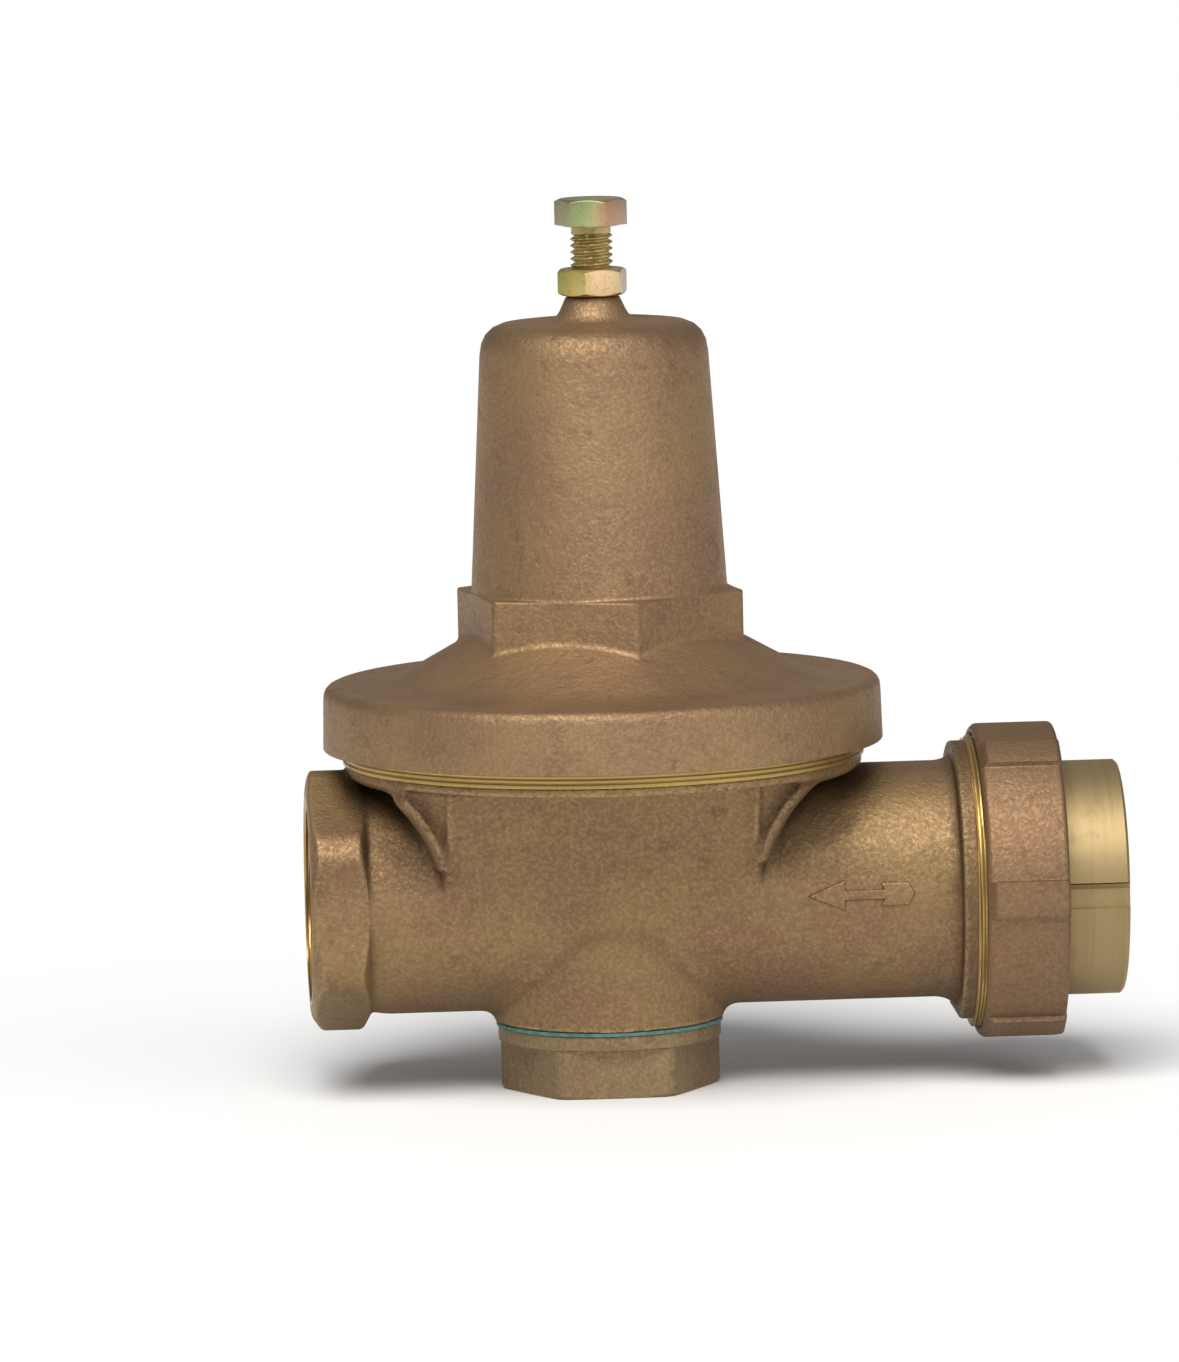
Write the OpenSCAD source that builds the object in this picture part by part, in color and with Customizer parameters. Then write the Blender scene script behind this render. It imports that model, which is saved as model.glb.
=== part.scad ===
// Pressure reducing valve for a 2 inch water line: cast bronze body with a union inlet on the
// right, a screwed spring bonnet above, and a strainer plug below.
// Millimetres. The origin is the centre of the outlet mouth; +X runs along the pipe towards the
// inlet, +Z points up the valve axis.

/* [Pipe run] */
// Distance from the outlet face to the valve axis
outlet_len = 89.6; // [86:0.2:110]
// Distance from the valve axis to the end face of the body's union thread
inlet_len = 124; // [119:1:140]
// Outer radius of the cast pipe
pipe_r = 35.5; // [34.5:0.5:38]
// How far the cast pipe sits above the thread axis
core_lift = 1; // [0:0.1:1.4]
// Radius of the water way
bore_r = 28.4; // [24:0.1:28.6]
// Radius of the 2 inch pipe thread, taken as a plain hole
npt_r = 29.2; // [28.4:0.1:30]
// Length of the outlet pipe thread
npt_len = 24; // [18:1:28]
// Width across flats of the outlet hexagon
hub_af = 71.2; // [70:0.2:76]
// Radius that trims the outlet hexagon's corners
hub_trim_r = 39.2; // [37.5:0.1:41]
// Length of the outlet hexagon
hub_len = 15.2; // [12:0.2:19]
// Length of the cone from the hexagon down to the pipe
hub_cone = 3.4; // [2:0.2:5]

/* [Body bowl] */
// Half width of the flat front panel
panel_half = 45.6; // [44:0.2:50]
// How far the panel stands out from the valve axis, below the flange
panel_top = 50; // [46:0.5:56]
// Outer radius of the cast lip under the bonnet
lip_r = 77.2; // [76.5:0.1:77.7]
// Height of the lip's lower edge
lip_z = 37.5; // [34:0.5:38.5]
// Radius of the machined band above the lip
band_r = 78; // [77.8:0.1:79]
// Height of the band's lower edge
band_z = 41; // [39:0.5:42]
// Outer radius of the body's bonnet thread
neck_r = 75; // [74:0.1:76]
// Height of the body's top face, where the diaphragm is clamped
seat_face_z = 52.5; // [51:0.5:54]
// Depth of the shallow bowl under the diaphragm
bowl_depth = 8.4; // [8.2:0.1:9]

/* [Strainer boss and plug] */
// Outer radius of the boss that takes the plug
boss_r = 34; // [33:0.5:35]
// Height of the boss's lower face, below the pipe axis
boss_drop = 38; // [37:0.5:44]
// Radius of the boss's thread, taken as a plain hole
plug_hole_r = 29; // [28:0.2:30]
// Thickness of the plug gasket
gasket_t = 1; // [0.8:0.1:1.6]
// Height of the plug's round collar
collar_h = 4.6; // [3:0.2:6]
// Width across flats of the plug's hexagon
plug_af = 58.2; // [56:0.2:60]
// Height of the plug's hexagon
plug_hex_h = 14.8; // [12:0.2:18]
// Length of the plug's threaded shank
plug_shank = 11; // [9:0.5:13]

/* [Seat and stem] */
// Thickness of the wall between the inlet and outlet chambers
wall_t = 7; // [6:0.5:9]
// Radius of the seat's water way
seat_r = 16.5; // [14:0.5:17]
// Radius of the seat ring's thread
ring_r = 20.5; // [19.5:0.5:21]
// Radius of the stem
stem_r = 5; // [4.5:0.1:6]
// Lift from fully open to closed
lift = 8; // [6:0.5:9]
// Outer radius of the disc holder
holder_r = 22; // [21:0.2:22.6]
// Inner radius of the strainer screen
screen_r = 24.2; // [23.8:0.1:25]

/* [Diaphragm] */
// Thickness of the diaphragm
dia_t = 3; // [2.4:0.2:3.4]
// Radius of the flat middle of the diaphragm
dia_mid_r = 46; // [42:0.5:48]
// Thickness of the slip ring on the diaphragm's rim
slip_t = 1; // [0.8:0.1:1.2]

/* [Bonnet] */
// Outer radius of the bonnet's rim
rim_r = 83.8; // [82:0.2:88]
// Height of the rim's upper face
rim_top = 64.2; // [63:0.2:68]
// Clearance between the rim's lower edge and the body's band
rim_gap = 0.5; // [0.4:0.1:1]
// Width across flats of the bonnet's hexagon
hex_af = 77.2; // [76.6:0.2:84]
// Height of the hexagon's top
hex_top = 91.6; // [89:0.2:96]
// Radius of the bell just above the hexagon
bell_r0 = 38.2; // [37:0.2:39]
// Radius of the bell just below its rounded top
bell_r1 = 33.6; // [32.5:0.2:34.7]
// Height of the bell's top
bell_top = 171.8; // [165:0.2:178]
// Wall thickness of the bell
bell_wall = 5; // [4:0.2:5.4]
// Height of the boss that takes the adjusting bolt, above the bell
bolt_boss_h = 7.6; // [6:0.2:10]

/* [Adjusting bolt] */
// Major radius of the 1/2 inch adjusting bolt
bolt_r = 6.35; // [6:0.05:7]
// Lead of the adjusting bolt's thread
bolt_pitch = 1.954; // [1.5:0.01:2.2]
// Width across flats of the bolt's head
head_af = 19; // [18:0.1:21]
// Height of the bolt's head
head_h = 7.9; // [6:0.1:8.5]
// Length of bolt between its head and the lock nut
bolt_show = 13; // [11:0.2:20]
// Height of the lock nut
nut_h = 7.9; // [6:0.1:9]
// Height of the spring's upper seat above the pipe axis
button_z = 144; // [140:0.5:146]

/* [Adjusting spring] */
// Middle radius of the spring's coils
coil_r = 21.4; // [20:0.2:22]
// Radius of the spring's wire
wire_r = 3.2; // [2.6:0.1:3.4]

/* [Union] */
// Outer radius of the union thread on the body
union_r = 44; // [43:0.1:44.5]
// Lead of the union thread
union_pitch = 2.209; // [1.8:0.01:2.6]
// Radius of the union nut between its lugs
nut_r = 47.2; // [46.8:0.1:48]
// Radius of the union nut over its lugs
lug_r = 48.8; // [48.2:0.1:50]
// Length of the union nut
nut_len = 24.6; // [23.6:0.2:28]
// Outer radius of the tailpiece
tail_r = 35.2; // [34:0.1:35.5]
// Length of tailpiece that shows beyond the nut
tail_show = 19; // [14:0.2:24]
// Length of the inlet pipe thread
inlet_npt_len = 22; // [16:1:24]

/* [Clearances] */
// Radial clearance of a running fit
run_fit = 0.05; // [0.02:0.01:0.1]
// Radial clearance of a screwed joint that stays put
screw_fit = 0.05; // [0.02:0.01:0.1]
// Gap between faces that move apart
face_gap = 0.3; // [0.2:0.05:0.4]

/* [Hidden] */
$fn = 96;
eps = 0.01;
cut = 400;

// Pipe run
union_thread_len = 15.7;
shoulder_len = 5;
shoulder_r = 42.6;
shoulder_x = inlet_len - union_thread_len - shoulder_len;
hub_edge = 3.2;
hub_face_r = hub_trim_r - 4.5;

// Bowl: the cheeks flare outwards in an arc from the panel's width up to the lip
flare_r = 49;
flare_z = 0;
cheek_shift = -1.6;
panel_z = 2;
panel_foot = pipe_r - 0.4;
lip_round = 2.5;
bowl_r = dia_mid_r + 14;
chamber_r = 26;
lower_r = 27;
chamber_top = seat_face_z - bowl_depth;

// Diaphragm and its clamp
clamp_r = neck_r - 2;
ledge_z = seat_face_z + dia_t + slip_t;
ledge_r = 60;
sag = lift / 2;
mid_z = seat_face_z - sag;
stem_hole_r = stem_r + run_fit;
washer_t = 3.6;
washer_r = dia_mid_r - 2;
plate_t = 2.4;
plate_z = mid_z + dia_t;
spring_foot_z = plate_z + 5;
plate_hub_r = 30;

// Bonnet
rim_z = band_top() + rim_gap;
rim_round = 3;
rim_draft = 0.5;
annulus_r = 66;
cone_r = 41;
cone_z = hex_top - 14.2;
hex_round = 0.9;
bell_round = 8;
inner_r0 = bell_r0 - bell_wall;
inner_r1 = bell_r1 - bell_wall;
inner_top = bell_top - bell_wall - 1;
boss_foot_r = 10.4;
boss_top_r = 7.8;
boss_flare = 6;
boss_top = bell_top + bolt_boss_h;

// Bolt and lock nut
bolt_hole_r = bolt_r + run_fit;
lock_nut_z = boss_top + face_gap;
head_z = lock_nut_z + nut_h + bolt_show;
tip_z = button_z + 6;
head_turn = 20;
nut_turn = -14;
thread_groove = 0.8;

// Spring button
button_rim_r = coil_r + wire_r + 1.2;
button_pilot_r = coil_r - wire_r - 0.6;
button_t = 3;
button_wall = 3.6;

// Partition, seat ring and valve disc
wall_top = wall_t / 2;
wall_foot = -wall_t / 2;
ring_flange_r = ring_r + 2.5;
ring_flange_t = 3;
ring_lip_r = seat_r + 1.2;
ring_foot = wall_foot - 3;
o_ring_d = 1.8;
disc_t = 4;
disc_r = holder_r - 2.6;
disc_top = ring_foot - lift - run_fit;
disc_foot = disc_top - disc_t;
holder_foot = disc_foot - 4.5;
retainer_r = 10;
retainer_t = 2;
disc_nut_h = 5;
disc_nut_af = 15;
shoulder_stem_r = stem_r + 2;

// Plug, gasket and screen
boss_z = -boss_drop;
boss_fillet = 2;
plug_top = boss_z + plug_shank;
collar_z = boss_z - gasket_t - collar_h;
plug_foot = collar_z - plug_hex_h;
plug_cup_r = screen_r + 0.8 + screw_fit;
plug_floor = boss_z - 1;
guide_r = 9;
guide_top = plug_floor + 6;
guide_depth = lift + 8;
stem_foot = guide_top - lift - 6;
stem_top = plate_z + 19;
screen_t = 0.8;
screen_rows = 3;
slots_round = 6;

// Union
nut_x = inlet_len - 13.4;
nut_end = nut_x + nut_len;
nut_lip_t = 4.6;
flange_r = union_r - 2;
flange_t = 4;
union_gasket_t = 2;
gasket_hole_r = npt_r + 2;
tail_x = inlet_len + union_gasket_t;
tail_end = nut_end + tail_show;
lug_count = 6;
lug_turn = 13.5;
slot_w = 7.3;
slot_depth = 1.6;
slot_low = 1.3;

function band_top() = band_z + 3.9;
function arc(cx, cz, r, from, to, steps = 12) =
    [for (i = [0:steps]) let (a = from + (to - from) * i / steps) [cx + r * cos(a), cz + r * sin(a)]];
// Half width of the cheeks at height z
function flare(z) = panel_half + flare_r - sqrt(pow(flare_r, 2) - pow(max(z - flare_z, 0), 2));

module on_axis() { translate([outlet_len, 0, 0]) children(); }
module along_x(x) { translate([x, 0, 0]) rotate([0, 90, 0]) children(); }
module ring(r_out, r_in, z0, z1) {
    translate([0, 0, z0]) difference() {
        cylinder(r = r_out, h = z1 - z0);
        translate([0, 0, -1]) cylinder(r = r_in, h = z1 - z0 + 2);
    }
}
module disc(r, z0, z1) { translate([0, 0, z0]) cylinder(r = r, h = z1 - z0); }
module hexagon(af, z0, z1) {
    translate([0, 0, z0]) cylinder(r = af / sqrt(3), h = z1 - z0, $fn = 6);
}
// A hexagon whose corners are chamfered at 30 degrees, as on a nut or a bolt head
module chamfered_hex(af, z0, z1, foot_too) {
    trim_r = af / 2 * 0.97;
    corner_r = af / sqrt(3) + 0.2;
    drop = (corner_r - trim_r) * tan(30);
    foot_r = foot_too ? trim_r : corner_r;
    foot_drop = foot_too ? drop : eps;
    intersection() {
        hexagon(af, z0, z1);
        rotate_extrude() polygon([[0, z0], [foot_r, z0], [corner_r, z0 + foot_drop],
                                  [corner_r, z1 - drop], [trim_r, z1], [0, z1]]);
    }
}

// Body casting -----------------------------------------------------------------------------
module cheeks() {
    top = band_z;
    steps = 14;
    side = [for (i = [0:steps]) let (z = panel_z - 6 + (lip_z + 1 - panel_z + 6) * i / steps)
            [flare(z), z]];
    mirrored = [for (i = [steps:-1:0]) [-side[i][0], side[i][1]]];
    intersection() {
        translate([-cheek_shift, 0, 0]) disc(lip_r - 1, panel_z - 6, top);
        rotate([90, 0, 0]) translate([0, 0, -panel_top])
            linear_extrude(height = 2 * panel_top)
                polygon(concat(side, [[flare(lip_z + 1), top], [-flare(lip_z + 1), top]], mirrored));
        rotate([90, 0, 90]) translate([0, 0, -cut / 2])
            linear_extrude(height = cut)
                polygon([[-panel_foot, panel_z - 6], [-panel_foot, panel_z], [-panel_top, lip_z - 1],
                         [-panel_top, top], [panel_top, top], [panel_top, lip_z - 1],
                         [panel_foot, panel_z], [panel_foot, panel_z - 6]]);
    }
}
module flange() {
    lip = arc(lip_r - lip_round, lip_z + lip_round, lip_round, -90, 0);
    thread_foot = band_top();
    rotate_extrude()
        polygon(concat([[0, lip_z + 1.5], [lip_r - lip_round - 3, lip_z + 1.5]], lip,
                       [[lip_r, band_z], [band_r, band_z], [band_r, thread_foot],
                        [neck_r, thread_foot + 0.6], [neck_r, seat_face_z], [0, seat_face_z]]));
}
module hub() {
    hub_end = hub_len + hub_cone;
    along_x(0) intersection() {
        hexagon(hub_af, 0, hub_end);
        rotate_extrude() polygon([[0, 0], [hub_face_r, 0], [hub_trim_r, hub_edge], [hub_trim_r, hub_len],
                                  [pipe_r - 1, hub_end], [0, hub_end]]);
    }
}
module body_outside() {
    hub();
    translate([0, 0, core_lift]) along_x(hub_len)
        cylinder(r = pipe_r, h = outlet_len + shoulder_x - hub_len + 1);
    along_x(outlet_len + shoulder_x) cylinder(r1 = pipe_r, r2 = shoulder_r, h = shoulder_len);
    along_x(outlet_len + shoulder_x + shoulder_len) union_thread();
    on_axis() {
        translate([cheek_shift, 0, 0]) cheeks();
        flange();
        disc(boss_r, boss_z, 0);
        translate([0, 0, boss_z]) cylinder(r1 = boss_r, r2 = boss_r + boss_fillet, h = 3 * boss_fillet);
    }
}
module union_thread() {
    // Two turned rings show beside the nut, ahead of the working thread
    grooves = 2;
    ring_step = 1.2;
    ring_top_r = union_r - 0.9;
    rotate_extrude()
        polygon(concat([[0, -1], [shoulder_r, -1], [shoulder_r, 0.1]],
            [for (i = [0:grooves - 1], p = [[ring_top_r, 0.3], [ring_top_r, 0.8], [ring_top_r - 0.8, 1.1],
                                            [ring_top_r - 0.8, 1.4]]) [p[0], p[1] + i * ring_step]],
            [[ring_top_r, grooves * ring_step + 0.1], [union_r, grooves * ring_step + 0.6],
             [union_r, union_thread_len - 1],
             [union_r - 1, union_thread_len], [0, union_thread_len]]));
}
module water_way() {
    // The outlet half joins the upper chamber and the inlet half joins the lower one
    along_x(-1) cylinder(r = npt_r, h = npt_len + 1);
    along_x(npt_len - 1) cylinder(r = bore_r, h = outlet_len - chamber_r - npt_len - 5);
    intersection() {
        along_x(npt_len) cylinder(r = bore_r, h = outlet_len - npt_len);
        translate([-cut / 2, -cut / 2, wall_top]) cube(cut);
    }
    along_x(outlet_len + chamber_r + 6) cylinder(r = bore_r, h = inlet_len);
    intersection() {
        along_x(outlet_len) cylinder(r = bore_r, h = inlet_len);
        translate([-cut / 2, -cut / 2, wall_foot - cut]) cube(cut);
    }
    on_axis() {
        disc(chamber_r, wall_top, chamber_top + eps);
        rotate_extrude() polygon([[0, chamber_top], [chamber_r, chamber_top], [bowl_r - 6, chamber_top + 0.2],
                                  [bowl_r, chamber_top + 6], [bowl_r, seat_face_z + 1], [0, seat_face_z + 1]]);
        disc(lower_r, plug_top - 2, wall_foot);
        disc(plug_hole_r, boss_z - 1, plug_top + 2);
        disc(ring_r, wall_foot - 1, wall_top + 1);
    }
}
module body() {
    color("#8f7350") difference() {
        body_outside();
        water_way();
    }
}

// Bonnet -----------------------------------------------------------------------------------
module bonnet_outline() {
    corner = arc(rim_r - rim_draft - rim_round, rim_top - rim_round, rim_round, 0, 90);
    neck = arc(annulus_r, rim_top + 10.6, 10, -90, -120, 6);
    dome = arc(bell_r1 - bell_round, bell_top - bell_round, bell_round, 0, 90);
    boss = arc(boss_foot_r + boss_flare, bell_top + boss_flare, boss_flare, 250, 190, 6);
    polygon(concat([[0, rim_z], [rim_r, rim_z]], corner, [[annulus_r, rim_top + 0.6]], neck,
                   [[cone_r, cone_z], [bell_r0, cone_z + 5], [bell_r0, hex_top]], dome, boss,
                   [[boss_top_r, boss_top], [0, boss_top]]));
}
module bonnet_hexagon() {
    // The wrench flats run down into the cone below them
    corner_r = hex_af / sqrt(3);
    intersection() {
        rotate([0, 0, -90 + 10.9]) hexagon(hex_af, rim_top, hex_top);
        rotate_extrude() polygon([[0, rim_top], [corner_r + 1, rim_top], [corner_r + 1, hex_top - 2 * hex_round],
                                  [corner_r - 2 * hex_round, hex_top], [0, hex_top]]);
    }
}
module bonnet_inside() {
    rotate_extrude() polygon([[0, rim_z - 1], [neck_r + screw_fit, rim_z - 1], [neck_r + screw_fit, ledge_z],
        [ledge_r, ledge_z], [ledge_r, ledge_z + 1], [cone_r, cone_z - 8],
        [inner_r0, cone_z], [inner_r0, hex_top], [inner_r1, inner_top - 4],
        [inner_r1 - 4, inner_top], [0, inner_top]]);
    disc(bolt_hole_r, inner_top - 1, boss_top + 1);
}
module bonnet() {
    color("#93765a") on_axis() difference() {
        union() {
            rotate_extrude() bonnet_outline();
            bonnet_hexagon();
        }
        bonnet_inside();
    }
}

// Adjusting bolt, lock nut, button and spring ------------------------------------------------
module adjusting_bolt() {
    grooves = floor((bolt_show - 3) / bolt_pitch);
    first = lock_nut_z + nut_h + 0.6;
    color("#b59a72") on_axis() {
        rotate([0, 0, head_turn - 90]) chamfered_hex(head_af, head_z, head_z + head_h, false);
        rotate_extrude()
            polygon(concat([[0, tip_z], [bolt_r - 1.5, tip_z], [bolt_r, tip_z + 1.5]],
                [for (i = [0:grooves - 1], p = [[bolt_r, 0], [bolt_r - thread_groove, 0.7],
                    [bolt_r - thread_groove, 0.9], [bolt_r, 1.6]]) [p[0], first + p[1] + i * bolt_pitch]],
                [[bolt_r, head_z + eps], [0, head_z + eps]]));
    }
}
module lock_nut() {
    color("#c2a672") on_axis() rotate([0, 0, nut_turn - 90]) difference() {
        chamfered_hex(head_af, lock_nut_z, lock_nut_z + nut_h, true);
        disc(bolt_hole_r, lock_nut_z - 1, lock_nut_z + nut_h + 1);
    }
}
module spring_button() {
    dimple_r = bolt_r + 2;
    color("#8d8f92") on_axis() rotate_extrude()
        polygon([[0, button_z + 1.5], [button_pilot_r - button_wall - 1, button_z + 1.5],
                 [button_pilot_r - button_wall, button_z - 8],
                 [button_pilot_r - 1, button_z - 8], [button_pilot_r, button_z - 6],
                 [button_pilot_r, button_z - 0.1], [button_rim_r, button_z - 0.1],
                 [button_rim_r, button_z + button_t - 1], [button_rim_r - 1, button_z + button_t],
                 [dimple_r + 5, button_z + button_t], [dimple_r + 2, button_z + 9], [dimple_r, button_z + 9],
                 [dimple_r, tip_z - face_gap], [0, tip_z - face_gap]]);
}
module adjusting_spring() {
    // One closed tube of the coil's true outer and inner size
    color("#5f6468") on_axis() ring(coil_r + wire_r, coil_r - wire_r, spring_foot_z + face_gap,
                                   button_z - 0.1 - face_gap);
}

// Diaphragm group ----------------------------------------------------------------------------
module diaphragm_plate() {
    color("#7d8084") on_axis() difference() {
        rotate_extrude() polygon([[0, plate_z], [dia_mid_r - 2.5, plate_z], [dia_mid_r - 1.5, plate_z + 1],
            [dia_mid_r - 1.5, plate_z + plate_t], [plate_hub_r, plate_z + plate_t + 1],
            [plate_hub_r - 1, spring_foot_z], [coil_r - wire_r - 0.6, spring_foot_z],
            [coil_r - wire_r - 0.6, spring_foot_z + 3], [13, spring_foot_z + 3], [12, plate_z + 4], [0, plate_z + 4]]);
        disc(stem_hole_r, plate_z - 1, plate_z + 10);
    }
}
module diaphragm() {
    color("#2b2b2b") on_axis() rotate_extrude()
        polygon([[stem_hole_r, mid_z], [dia_mid_r, mid_z], [ledge_r - 4, seat_face_z], [clamp_r, seat_face_z],
                 [clamp_r, seat_face_z + dia_t], [ledge_r - 4, seat_face_z + dia_t],
                 [dia_mid_r, mid_z + dia_t], [stem_hole_r, mid_z + dia_t]]);
}
module slip_ring() {
    color("#a9853f") on_axis() ring(clamp_r, ledge_r + 1, seat_face_z + dia_t, ledge_z);
}
module diaphragm_washer() {
    color("#a9853f") on_axis() difference() {
        rotate_extrude() polygon([[0, mid_z - washer_t], [washer_r - 3, mid_z - washer_t],
                                  [washer_r, mid_z - 1.5], [washer_r, mid_z], [0, mid_z]]);
        disc(stem_hole_r, mid_z - washer_t - 1, mid_z + 1);
    }
}
module stem() {
    shoulder_top = mid_z - washer_t;
    disc_seat = disc_top + retainer_t + disc_nut_h + 3;
    color("#b08d45") on_axis() rotate_extrude()
        polygon([[0, stem_foot], [stem_r - 1, stem_foot], [stem_r, stem_foot + 1], [stem_r, disc_seat],
                 [shoulder_stem_r, disc_seat + 2], [shoulder_stem_r, shoulder_top], [stem_r, shoulder_top],
                 [stem_r, stem_top - 1], [stem_r - 1, stem_top], [0, stem_top]]);
}
module stem_nut() {
    nut_foot = plate_z + 4;
    color("#8d8f92") on_axis() difference() {
        chamfered_hex(head_af - 1, nut_foot, nut_foot + 9, true);
        disc(stem_hole_r, nut_foot - 1, nut_foot + 10);
    }
}

// Seat and valve disc ------------------------------------------------------------------------
module seat_ring() {
    groove_z = wall_top - 3;
    color("#9fa3a6") on_axis() difference() {
        rotate_extrude() polygon([[seat_r, ring_foot], [ring_lip_r, ring_foot], [ring_lip_r + 1.4, wall_foot],
            [ring_r - screw_fit, wall_foot], [ring_r - screw_fit, wall_top], [ring_flange_r, wall_top],
            [ring_flange_r, wall_top + ring_flange_t], [seat_r + 1, wall_top + ring_flange_t],
            [seat_r, wall_top + ring_flange_t - 1]]);
        ring(ring_r + 1, ring_r - screw_fit - o_ring_d, groove_z, groove_z + o_ring_d);
    }
}
module seat_o_ring() {
    o_ring_mid = ring_r - o_ring_d / 2 - screw_fit / 2;
    color("#202020") on_axis() translate([0, 0, wall_top - 3 + o_ring_d / 2])
        rotate_extrude() translate([o_ring_mid, 0]) circle(d = o_ring_d - 0.1, $fn = 32);
}
module disc_holder() {
    color("#a9853f") on_axis() rotate_extrude()
        polygon([[stem_hole_r, holder_foot], [holder_r - 4, holder_foot], [holder_r, holder_foot + 3],
                 [holder_r, disc_top - 1.5], [disc_r + run_fit, disc_top - 1.5],
                 [disc_r + run_fit, disc_foot], [stem_hole_r, disc_foot]]);
}
module seat_disc() {
    color("#2a2422") on_axis() ring(disc_r, stem_hole_r, disc_foot, disc_top);
}
module disc_retainer() {
    color("#9fa3a6") on_axis() ring(retainer_r, stem_hole_r, disc_top, disc_top + retainer_t);
}
module disc_screw_nut() {
    nut_foot = disc_top + retainer_t;
    color("#8d8f92") on_axis() difference() {
        hexagon(disc_nut_af, nut_foot, nut_foot + disc_nut_h);
        disc(stem_hole_r, nut_foot - 1, nut_foot + disc_nut_h + 1);
    }
}

// Strainer and plug --------------------------------------------------------------------------
module strainer_screen() {
    screen_foot = plug_floor + face_gap;
    screen_top = wall_foot - face_gap;
    band = (screen_top - screen_foot) / (screen_rows + 1);
    color("#a8abad") on_axis() difference() {
        ring(screen_r + screen_t, screen_r, screen_foot, screen_top);
        for (row = [0:screen_rows - 1], i = [0:slots_round - 1])
            translate([0, 0, screen_foot + band * (row + 0.75)])
                rotate([0, 0, (i + row % 2 / 2) * 180 / slots_round])
                    translate([-cut / 4, -2, 0]) cube([cut / 2, 4, band * 0.6]);
    }
}
module bottom_plug() {
    corner_r = plug_af / sqrt(3);
    color("#8a6e50") on_axis() difference() {
        union() {
            disc(plug_hole_r - screw_fit, boss_z - gasket_t - 1, plug_top);
            disc(boss_r - 0.6, collar_z, boss_z - gasket_t);
            intersection() {
                hexagon(plug_af, plug_foot, collar_z + eps);
                rotate_extrude() polygon([[0, plug_foot], [corner_r - 5, plug_foot], [corner_r - 0.8, plug_foot + 3.2],
                                          [corner_r - 0.8, collar_z + 1], [0, collar_z + 1]]);
            }
        }
        difference() {
            disc(plug_cup_r, plug_floor, plug_top + 1);
            disc(guide_r, plug_floor - 1, guide_top);
        }
        disc(stem_hole_r, guide_top - guide_depth, plug_top + 1);
        ring(stem_r + o_ring_d, stem_r - 1, guide_top - 4.5, guide_top - 4.5 + o_ring_d);
    }
}
module guide_o_ring() {
    o_ring_mid = stem_hole_r + run_fit + (o_ring_d - 0.2) / 2;
    color("#202020") on_axis() translate([0, 0, guide_top - 4.5 + o_ring_d / 2])
        rotate_extrude() translate([o_ring_mid, 0]) circle(d = o_ring_d - 0.2, $fn = 32);
}
module plug_gasket() {
    color("#4f9089") on_axis() ring(boss_r, plug_hole_r, boss_z - gasket_t, boss_z);
}

// Union --------------------------------------------------------------------------------------
module union_nut() {
    lip_x = nut_len - nut_lip_t;
    edge = 1.3;
    round_end = 1.6;
    color("#94755c") along_x(outlet_len + nut_x) difference() {
        union() {
            rotate_extrude() polygon([[0, 0], [nut_r - edge, 0], [nut_r, edge], [nut_r, nut_len - round_end],
                                      [nut_r - round_end, nut_len], [0, nut_len]]);
            intersection() {
                for (i = [0:lug_count - 1]) rotate([0, 0, 90 + i * 360 / lug_count]) lug_wedge();
                rotate_extrude() polygon([[0, 0], [nut_r - edge, 0], [lug_r, edge + 1.2], [lug_r, nut_len - round_end],
                                          [lug_r - round_end, nut_len], [0, nut_len]]);
            }
        }
        translate([0, 0, -1]) cylinder(r = union_r + run_fit, h = lip_x + 1);
        cylinder(r = tail_r + face_gap, h = cut);
    }
}
module lug_wedge() {
    half = lug_r * tan(lug_turn / 2);
    translate([nut_r - 4, -half, 0]) cube([8, 2 * half, nut_len]);
}
module union_tailpiece() {
    length = tail_end - tail_x;
    edge = 0.8;
    flange_end = nut_end - nut_lip_t - face_gap - tail_x;
    color("#a98f5c") along_x(outlet_len + tail_x) difference() {
        rotate_extrude() polygon([[0, 0], [flange_r, 0], [flange_r, flange_end], [tail_r, flange_end],
                                  [tail_r, length - edge], [tail_r - edge, length], [0, length]]);
        translate([0, 0, -1]) cylinder(r = bore_r, h = length);
        translate([0, 0, length - inlet_npt_len]) cylinder(r = npt_r, h = inlet_npt_len + 1);
        translate([-slot_w / 2 + slot_low, -tail_r - 1, flange_end])
            cube([slot_w, slot_depth + 1, length]);
    }
}
module union_gasket() {
    color("#3a3a3a") along_x(outlet_len + inlet_len) ring(flange_r, gasket_hole_r, 0, union_gasket_t);
}

body();
bonnet();
adjusting_bolt();
lock_nut();
spring_button();
adjusting_spring();
diaphragm_plate();
diaphragm();
slip_ring();
diaphragm_washer();
stem();
stem_nut();
seat_ring();
seat_o_ring();
disc_holder();
seat_disc();
disc_retainer();
disc_screw_nut();
strainer_screen();
bottom_plug();
plug_gasket();
guide_o_ring();
union_nut();
union_tailpiece();
union_gasket();
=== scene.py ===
import math

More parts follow.
